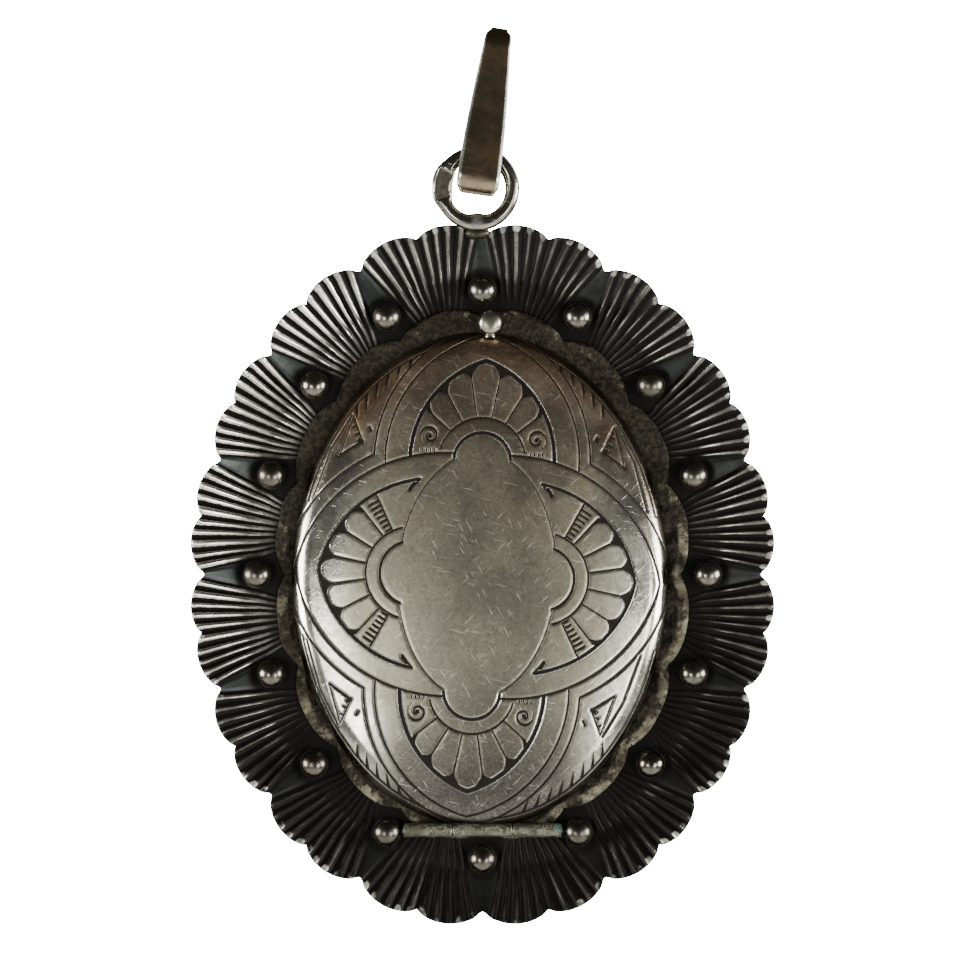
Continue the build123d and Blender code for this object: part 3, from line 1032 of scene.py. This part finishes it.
def silver(
    name, bright, dull, oxide, roughness, oxide_rough=0.6, scratch=0.6, bump=0.00003,
    recess=True, patch=260.0, sunk_from=(0.25, 0.75),
):
    """Silver with tarnish patches and scratches, and oxide where the recess mask is high."""
    material, s = new_material(name)
    tarnish = s.group(TARNISH, {"Patch Scale": patch})
    scratches = s.group(SCRATCHES, {"Amount": scratch})
    colour = s.blend(tarnish["Patches"], bright, dull)
    colour = s.blend(s.times(tarnish["Speckle"], 0.35), colour, dull)
    rough = s.between(tarnish["Patches"], roughness * 0.8, roughness * 1.35)
    rough = s.plus(rough, s.times(scratches["Lines"], 0.1))
    if recess:
        sunk = s.plus(s.mask("recess"), s.times(tarnish["Speckle"], 0.12))
        sunk = s.step(sunk, *sunk_from)
        colour = s.blend(sunk, colour, oxide)
        rough = s.plus(rough, s.times(sunk, oxide_rough - roughness))
        s.feed("Metallic", s.between(sunk, 1.0, 0.2))
        s.feed("Specular IOR Level", 0.15)
    else:
        s.feed("Metallic", 1.0)
    s.feed("Base Color", colour)
    s.feed("Roughness", rough)
    s.feed("Normal", s.bump(scratches["Height"], 0.6, bump))
    return material, s


def frame_silver():
    """Oxidised silver: black in the flutes, dark on the plain wedges, rubbed clean on the worn crests;
    painted shade by side and next to the ledge, and painted shadow rings round the beads.
    """
    material, s = silver(
        "oxidised_silver", (0.74, 0.71, 0.62, 1), (0.26, 0.24, 0.20, 1), OXIDE, 0.24,
        sunk_from=(0.16, 0.42),
    )
    where = s.place()
    blotch = s.noise(where, 420.0, 4.0, 0.6)
    plain = s.step(s.mask("plain"), 0.2, 0.8)
    # Painted shade by side, broken up by blotches.
    side_shade = s.times(s.mask("side_shade"), s.between(blotch, 0.85, 1.15), clamp=True)
    # Painted shade next to the ledge and painted shadow rings round the beads, broken up by blotches.
    dirt_and_shade = s.step(s.plus(s.mask("dirt_and_shade"), s.between(blotch, -0.35, 0.35)), 0.3, 1.0)
    worn = s.times(s.step(s.mask("worn"), 0.25, 0.75), s.step(blotch, 0.46, 0.62))
    # Black from the oxide in the flutes and from the painted shade by side.
    black = s.plus(s.times(s.mask("recess"), 1.2), s.times(side_shade, 0.42))
    black = s.step(s.plus(black, s.between(blotch, -0.08, 0.08)), 0.24, 0.5)
    colour = s.blend(black, s.fed("Base Color"), (0.0035, 0.0032, 0.0026, 1))
    smoky = s.blend(s.step(blotch, 0.4, 0.62), (0.030, 0.033, 0.031, 1), (0.065, 0.070, 0.066, 1))
    colour = s.blend(plain, colour, smoky)
    # Painted shade: where the shade by side is strong the face goes nearly black.
    deep_shade = s.times(s.times(side_shade, side_shade), 0.9)
    colour = s.blend(deep_shade, colour, (0.008, 0.0075, 0.006, 1))
    colour = s.blend(s.times(worn, 0.75), colour, (0.62, 0.60, 0.52, 1))
    # The painted shade and shadow rings laid on as near-black.
    s.feed("Base Color", s.blend(s.times(dirt_and_shade, 0.95), colour, (0.005, 0.0045, 0.0035, 1)))
    s.feed("Specular IOR Level", 0.08)
    # Metal dulled under the oxide and the painted shade.
    oxide_and_shade = s.most(s.times(black, 0.8), s.times(dirt_and_shade, 0.9))
    s.feed("Metallic", s.times(s.fed("Metallic"), s.between(oxide_and_shade, 1.0, 0.1)))
    s.feed("Roughness", s.most(s.fed("Roughness"), s.between(plain, 0.2, 0.42)))
    return material


def bead_silver():
    """Dark polished balls, with painted shade making them darker still low on the frame."""
    material, s = silver(
        "bead_silver", (0.20, 0.185, 0.15, 1), (0.09, 0.082, 0.065, 1), OXIDE, 0.25, 0.5, 0.5
    )
    # Painted shade: balls low on the frame are darkened.
    low = s.step(s.split(s.place())[2], 0.004, -0.018)
    s.feed("Base Color", s.blend(s.times(low, 0.55), s.fed("Base Color"), (0.07, 0.062, 0.05, 1)))
    return material


def cover_silver():
    """Warm grey silver, brown towards the top, cooler below, orange tarnish along the upper edge. The
    engraving comes from the same formulas as the mesh, so its oxide and burrs lie in the cuts."""
    material, s = new_material("engraved_silver")
    tarnish = s.group(TARNISH, {"Patch Scale": 230.0, "Speckle Scale": 2300.0})
    scratches = s.group(SCRATCHES, {"Amount": 0.8})
    where = s.place()
    x, _, z = s.split(where)
    work = engrave(Wire(s, x) / MM, Wire(s, z) / MM, OXIDE_SOFT)
    outside = s.step(s.mask("outside"), 0.6, 0.95)
    oxide = s.times(work.depth.socket, outside)
    burr = s.times(work.burr.socket, outside)
    patches, speckle = tarnish["Patches"], tarnish["Speckle"]
    cloud = s.step(s.noise(where, 95.0, 4.0, 0.6), 0.35, 0.65)
    edge = s.step(s.mask("edge_share"), 0.80, 0.97)
    top = s.step(s.plus(z, s.times(cloud, 0.004)), 0.005, 0.017)
    low = s.step(z, -0.006, -0.017)
    flank = s.step(s.value("ABSOLUTE", x), 0.0060, 0.0100)
    polished = s.times(s.step(s.mask("edge_share"), 0.62, 0.86), flank)
    colour = s.blend(patches, (0.235, 0.222, 0.158, 1), (0.185, 0.172, 0.115, 1))
    dusky = s.times(low, s.between(flank, 0.95, 0.2))
    colour = s.blend(dusky, colour, (0.052, 0.047, 0.046, 1))
    colour = s.blend(s.times(top, 0.85), colour, (0.20, 0.135, 0.088, 1))
    colour = s.blend(s.times(polished, s.between(top, 0.75, 0.0)), colour, (0.56, 0.545, 0.48, 1))
    orange = s.times(s.times(edge, top), s.between(cloud, 0.45, 1.0))
    colour = s.blend(orange, colour, (0.33, 0.18, 0.08, 1))
    grain = s.step(s.noise(where, 5200.0, 2.0, 0.7), 0.35, 0.65)
    colour = s.blend(s.times(speckle, s.between(dusky, 0.5, 0.3)), colour, (0.13, 0.115, 0.08, 1))
    colour = s.blend(s.times(grain, s.between(dusky, 0.35, 0.16)), colour, (0.34, 0.32, 0.25, 1))
    colour = s.blend(s.times(scratches["Lines"], 0.35), colour, (0.8, 0.79, 0.72, 1))
    # Painted shade: the rolled edge is darkened where it turns down, standing in for the dark reflection
    # there.
    rolled = s.times(s.step(s.mask("edge_share"), 0.962, 0.980), s.between(cloud, 0.9, 0.65))
    colour = s.blend(rolled, colour, (0.045, 0.038, 0.026, 1))
    colour = s.blend(outside, (0.42, 0.40, 0.33, 1), colour)
    colour = s.blend(s.times(burr, 0.45), colour, (0.70, 0.69, 0.62, 1))
    colour = s.blend(oxide, colour, (0.008, 0.006, 0.004, 1))
    matte = s.between(patches, 0.34, 0.44)
    rough = s.blend(s.times(polished, s.between(top, 1.0, 0.3)), matte, s.between(patches, 0.16, 0.26))
    rough = s.value("SUBTRACT", rough, s.times(burr, 0.12))
    rough = s.plus(rough, s.times(oxide, 0.3))
    s.feed("Base Color", colour)
    s.feed("Roughness", rough)
    s.feed("Metallic", s.between(oxide, 1.0, 0.2))
    s.feed("Specular IOR Level", 0.15)
    fine = s.bump(scratches["Height"], 0.5, 0.00003)
    height = s.value("SUBTRACT", s.times(burr, 0.35), oxide)
    s.feed("Normal", s.bump(height, 0.7, 0.00006, fine))
    return material


def ledge_gilt():
    """Old gilt under crusts of black-brown grime, darker beside the cover, the crusts heavier towards the
    top as painted shade and a little heavier on the left.
    """
    material, s = silver(
        "gilt_ledge", (0.21, 0.195, 0.13, 1), (0.09, 0.082, 0.052, 1), OXIDE, 0.42,
        scratch=1.2, patch=520.0, bump=0.00012,
    )
    where = s.place()
    x, _, z = s.split(where)
    crust_and_shade = s.noise(where, 620.0, 6.0, 0.68)
    # Painted shade: the crusts are pushed heavier towards the top; they are also a little heavier on the
    # left.
    upper = s.times(s.step(z, 0.0, 0.012), 0.13)
    left = s.times(s.step(x, 0.004, -0.012), 0.05)
    crust_and_shade = s.step(s.plus(crust_and_shade, s.plus(upper, left)), 0.44, 0.58)
    crumbs = s.step(s.noise(where, 2400.0, 4.0, 0.7), 0.42, 0.62)
    dirt_and_shade = s.blend(crumbs, (0.010, 0.008, 0.005, 1), (0.034, 0.026, 0.015, 1))
    s.feed("Base Color", s.blend(crust_and_shade, s.fed("Base Color"), dirt_and_shade))
    s.feed("Metallic", s.between(crust_and_shade, 0.9, 0.1))
    lumps = s.plus(crust_and_shade, s.times(crumbs, 0.5))
    s.feed("Normal", s.bump(lumps, 0.8, 0.00008))
    return material


def hinge_gilt():
    """Worn gilt over silver with crusts of green corrosion."""
    material, s = silver(
        "hinge_gilt", (0.19, 0.187, 0.132, 1), (0.085, 0.084, 0.055, 1), OXIDE, 0.46,
        recess=False, patch=720.0,
    )
    where = s.place()
    crust_and_shade = s.noise(where, 700.0, 5.0, 0.65)
    side = s.step(s.split(where)[0], 0.0035, 0.0065)
    crust_and_shade = s.step(s.plus(crust_and_shade, s.times(side, 0.10)), 0.58, 0.70)
    dirt_and_shade = s.step(s.noise(where, 1300.0, 5.0, 0.7), 0.50, 0.60)
    colour = s.blend(s.times(dirt_and_shade, 0.85), s.fed("Base Color"), (0.020, 0.017, 0.010, 1))
    s.feed("Base Color", s.blend(crust_and_shade, colour, (0.05, 0.12, 0.085, 1)))
    s.feed("Metallic", s.between(s.most(crust_and_shade, dirt_and_shade), 1.0, 0.1))
    s.feed("Normal", s.bump(s.plus(crust_and_shade, dirt_and_shade), 0.7, 0.00008))
    return material


def plain_silver(name, bright, dull, roughness, patch=300.0):
    return silver(name, bright, dull, (0, 0, 0, 1), roughness, recess=False, patch=patch)[0]


def bail_silver():
    """Brown tarnish, with the bright metal showing along the worn edges."""
    material, s = silver(
        "bail_silver", (0.30, 0.255, 0.180, 1), (0.19, 0.120, 0.058, 1), OXIDE, 0.24,
        scratch=0.22, recess=False, patch=240.0,
    )
    worn = s.step(s.mask("worn"), 0.15, 0.7)
    s.feed("Base Color", s.blend(worn, s.fed("Base Color"), (0.62, 0.59, 0.51, 1)))
    return material


def card_material():
    material, s = new_material("card")
    tarnish = s.group(TARNISH, {"Patch Scale": 120.0})
    colour = s.blend(tarnish["Patches"], (0.62, 0.52, 0.36, 1), (0.50, 0.40, 0.26, 1))
    colour = s.blend(s.times(tarnish["Speckle"], 0.3), colour, (0.33, 0.24, 0.14, 1))
    s.feed("Base Color", colour)
    s.feed("Roughness", 0.85)
    s.feed("Normal", s.bump(tarnish["Speckle"], 0.4, 0.00003))
    return material


def glass_material():
    """Thin old glass, faintly smeared, that lets light through to the card."""
    material, s = new_material("glass")
    tarnish = s.group(TARNISH, {"Patch Scale": 90.0})
    s.feed("Roughness", s.between(tarnish["Patches"], 0.02, 0.07))
    s.feed("Base Color", (0.97, 0.98, 0.96, 1))
    s.feed("Transmission Weight", 1.0)
    s.feed("IOR", 1.45)
    clear = s.node("ShaderNodeBsdfTransparent")
    shadow = s.seen("Is Shadow Ray")
    both = s.node("ShaderNodeMixShader", {0: shadow, 1: s.surface.outputs[0], 2: clear.outputs[0]})
    leave = next(node for node in material.node_tree.nodes if node.type == "OUTPUT_MATERIAL")
    s.put(leave.inputs[0], both.outputs[0])
    return material


# ---- assembling


def finish_piece(piece, material, body, nodes):
    """Give a piece its material and body, and let it stand for its CAD nodes."""
    piece.data.materials.clear()
    piece.data.materials.append(material)
    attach(piece, body)
    if nodes:
        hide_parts(*nodes)


def dress_node(node, material):
    """New material on a CAD node that keeps its own mesh."""
    piece = frame["nodes"][node]
    piece.data.materials.clear()
    piece.data.materials.append(material)


def build_case():
    finish_piece(build_fluted_frame(), frame_silver(), "case", ["fluted_frame"])
    beads = bead_silver()
    for number in range(BEADS):
        finish_piece(build_bead(number), beads, "case", [f"bead_{number + 1:02d}"])
    ledge = ledge_gilt()
    finish_piece(build_ledge(), ledge, "case", ["front_ledge"])
    back = silver(
        "case_silver", (0.60, 0.575, 0.51, 1), (0.40, 0.375, 0.32, 1), OXIDE, 0.32, patch=150.0
    )[0]
    finish_piece(build_back_plate(), back, "case", ["back_plate"])
    wall = plain_silver("wall_silver", (0.55, 0.52, 0.46, 1), (0.30, 0.27, 0.23, 1), 0.36)
    finish_piece(build_case_wall(), wall, "case", ["case_wall"])
    ring = silver(
        "ring_silver", (0.40, 0.385, 0.33, 1), (0.17, 0.155, 0.12, 1), (0.04, 0.033, 0.024, 1), 0.18, 0.45
    )[0]
    finish_piece(build_ring(), ring, "case", ["top_ring"])
    solder = plain_silver("solder", (0.09, 0.08, 0.06, 1), (0.03, 0.026, 0.018, 1), 0.45, 600.0)
    finish_piece(build_lug(), solder, "case", [])


def dress_cad_nodes():
    """Materials for the nodes that keep their CAD meshes."""
    dress_node("picture_card", card_material())
    dress_node("picture_glass", glass_material())
    for node, name, bright, dull, roughness in (
        ("inner_collar", "collar_gilt", (0.66, 0.53, 0.30, 1), (0.45, 0.35, 0.2, 1), 0.32),
        ("picture_bezel", "bezel_gilt", (0.80, 0.64, 0.35, 1), (0.6, 0.46, 0.24, 1), 0.26),
        ("hinge_pin", "pin_steel", (0.5, 0.49, 0.46, 1), (0.3, 0.28, 0.25, 1), 0.35),
        ("cover_snap_rim", "rim_silver", (0.66, 0.63, 0.56, 1), (0.45, 0.41, 0.35, 1), 0.3),
    ):
        dress_node(node, plain_silver(name, bright, dull, roughness))


def build_hinge():
    gilt = hinge_gilt()
    for node, body, seed in (
        ("case_knuckle_left", "case", 1), ("case_knuckle_right", "case", 2), ("cover_knuckle", "cover", 3)
    ):
        finish_piece(build_knuckle(node, seed), gilt, body, [node])


def build_moving():
    finish_piece(build_cover(), cover_silver(), "cover", ["front_cover"])
    nib = plain_silver("nib_silver", (0.50, 0.48, 0.42, 1), (0.26, 0.24, 0.19, 1), 0.24, 700.0)
    finish_piece(build_nib(), nib, "cover", ["thumb_nib"])
    finish_piece(build_nib_neck(), nib, "cover", [])
    finish_piece(build_bail(), bail_silver(), "bail", ["bail"])


# ---- camera, floor and light

VIEW_CENTRE = (0.585, 6.59)
VIEW_WIDTH = 76.44
VIEW_AWAY = 520.0
GROUND_GLOW = 30.0


def build_camera():
    camera = bpy.data.cameras.new("camera")
    camera.sensor_width = 36
    camera.lens = 36 * VIEW_AWAY / VIEW_WIDTH
    camera.clip_start = 0.01
    camera.clip_end = 20
    eye = bpy.data.objects.new("camera", camera)
    eye.location = (VIEW_CENTRE[0] * MM, -(VIEW_AWAY + 4) * MM, VIEW_CENTRE[1] * MM)
    eye.rotation_euler = (pi / 2, 0, 0)
    link_object(eye)
    bpy.context.scene.camera = eye


def build_floor():
    mesh = bpy.data.meshes.new("floor")
    half, level = 1.6, -0.3
    corners = [(x * half, y * half, level) for x, y in ((-1, -1), (1, -1), (1, 1), (-1, 1))]
    mesh.from_pydata(corners, [], [(0, 1, 2, 3)])
    floor = bpy.data.objects.new("floor", mesh)
    link_object(floor)
    material, s = new_material("floor")
    grain = s.noise(s.place(), 6.0, 3.0, 0.5)
    s.feed("Base Color", s.blend(grain, (0.82, 0.82, 0.81, 1), (0.86, 0.86, 0.85, 1)))
    s.feed("Roughness", 0.9)
    s.feed("Emission Color", (1, 1, 1, 1))
    s.feed("Emission Strength", s.times(s.seen("Is Camera Ray"), GROUND_GLOW))
    mesh.materials.append(material)


LIT_POINT = (0, 0, 0.005)


def soft_box(name, place, size, power):
    light = bpy.data.lights.new(name, "AREA")
    light.shape = "RECTANGLE"
    light.size, light.size_y = size
    light.energy = power
    holder = bpy.data.objects.new(name, light)
    holder.location = place
    holder.rotation_euler = (Vector(LIT_POINT) - Vector(place)).to_track_quat("-Z", "Z").to_euler()
    link_object(holder)


def build_lights():
    soft_box("left_wall", (-0.5, -0.08, 0.0), (0.2, 0.3), 6.0)
    soft_box("right_wall", (0.5, -0.08, 0.0), (0.2, 0.3), 6.0)
    soft_box("left_window", (-0.205, -0.46, -0.11), (0.10, 0.15), 0.8)
    soft_box("right_window", (0.30, -0.41, -0.12), (0.15, 0.22), 1.4)
    soft_box("back_left", (-0.45, 0.5, 0.25), (0.3, 0.3), 2.0)
    soft_box("back_right", (0.45, 0.45, 0.3), (0.3, 0.3), 2.0)


def build_world():
    """Pale to the camera; to the metal, a dim room with light walls at both sides and a dark top."""
    world = bpy.data.worlds.new("studio")
    world.use_nodes = True
    world.node_tree.nodes.clear()
    s = Shader(world.node_tree)
    x, _, z = s.split(s.node("ShaderNodeTexCoord").outputs["Generated"])
    side = s.step(s.value("ABSOLUTE", x), 0.35, 0.9)
    low = s.step(z, 0.55, -0.15)
    light = s.times(side, low)
    room = s.blend(light, (0.06, 0.06, 0.058, 1), (0.4, 0.4, 0.395, 1))
    room = s.blend(s.step(z, -0.2, -0.9), room, (0.16, 0.16, 0.155, 1))
    colour = s.blend(s.seen("Is Camera Ray"), room, (GROUND_GLOW, GROUND_GLOW, GROUND_GLOW, 1))
    sky = s.node("ShaderNodeBackground", {"Color": colour, "Strength": 1.0})
    leave = s.node("ShaderNodeOutputWorld")
    s.put(leave.inputs[0], sky.outputs[0])
    bpy.context.scene.world = world


build_camera()
build_case()
build_hinge()
build_moving()
dress_cad_nodes()
build_floor()
build_lights()
build_world()
